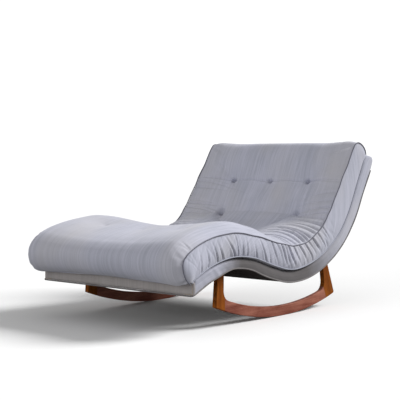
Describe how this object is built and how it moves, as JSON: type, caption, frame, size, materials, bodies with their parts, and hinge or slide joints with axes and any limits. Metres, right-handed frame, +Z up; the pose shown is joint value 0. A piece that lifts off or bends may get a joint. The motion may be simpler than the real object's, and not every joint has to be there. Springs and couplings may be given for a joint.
{
  "type": "rocking chaise lounge",
  "caption": "Double-width rocking chaise lounge: a wave-shaped upholstered base with a loose tufted cushion, carried on two curved wooden rockers.",
  "frame": {"origin": "On the floor, midway between the foot end and the head end and midway between the two sides.", "axes": "+Z up; +Y from the foot end to the head end; +X to the sitter's left."},
  "size_m": [1.0174, 1.6488, 0.8915],
  "materials": {
    "upholstery": "matte",
    "welt": "matte",
    "lining": "matte",
    "padding": "matte",
    "webbing": "matte",
    "walnut": "satin",
    "frame_wood": "matte",
    "steel": "satin"
  },
  "bodies": {
    "base": {"left_rocker_front_post": "walnut", "left_rocker_runner": "walnut", "left_rocker_rear_post": "walnut", "left_front_tenon": "walnut", "left_rear_tenon": "walnut", "left_post_bolt_1": "steel", "left_post_bolt_2": "steel", "left_post_bolt_3": "steel", "left_post_bolt_4": "steel", "left_tee_nut_1": "steel", "left_tee_nut_2": "steel", "left_tee_nut_3": "steel", "left_tee_nut_4": "steel", "right_rocker_front_post": "walnut", "right_rocker_runner": "walnut", "right_rocker_rear_post": "walnut", "right_front_tenon": "walnut", "right_rear_tenon": "walnut", "right_post_bolt_1": "steel", "right_post_bolt_2": "steel", "right_post_bolt_3": "steel", "right_post_bolt_4": "steel", "right_tee_nut_1": "steel", "right_tee_nut_2": "steel", "right_tee_nut_3": "steel", "right_tee_nut_4": "steel", "left_side_rail": "frame_wood", "right_side_rail": "frame_wood", "foot_rail": "frame_wood", "hump_rail": "frame_wood", "valley_rail": "frame_wood", "back_rail": "frame_wood", "head_rail": "frame_wood", "webbing_strap_1": "webbing", "webbing_strap_2": "webbing", "webbing_strap_3": "webbing", "webbing_strap_4": "webbing", "webbing_strap_5": "webbing", "webbing_strap_6": "webbing", "webbing_strap_7": "webbing", "webbing_strap_8": "webbing", "deck_pad": "padding", "base_cover": "upholstery", "dust_cover": "lining", "base_welt": "welt"},
    "cushion": {"cushion_body": "upholstery", "left_cushion_upper_welt": "welt", "left_cushion_lower_welt": "welt", "right_cushion_upper_welt": "welt", "right_cushion_lower_welt": "welt", "foot_button_left": "upholstery", "foot_button_middle": "upholstery", "foot_button_right": "upholstery", "lumbar_button_left": "upholstery", "lumbar_button_right": "upholstery", "shoulder_button_left": "upholstery", "shoulder_button_middle": "upholstery", "shoulder_button_right": "upholstery"}
  },
  "joints": [
    {"name": "cushion_lift", "type": "slide", "parent": "base", "child": "cushion", "axis": [0, 0, 1], "range_m": [0, 0.3]}
  ]
}
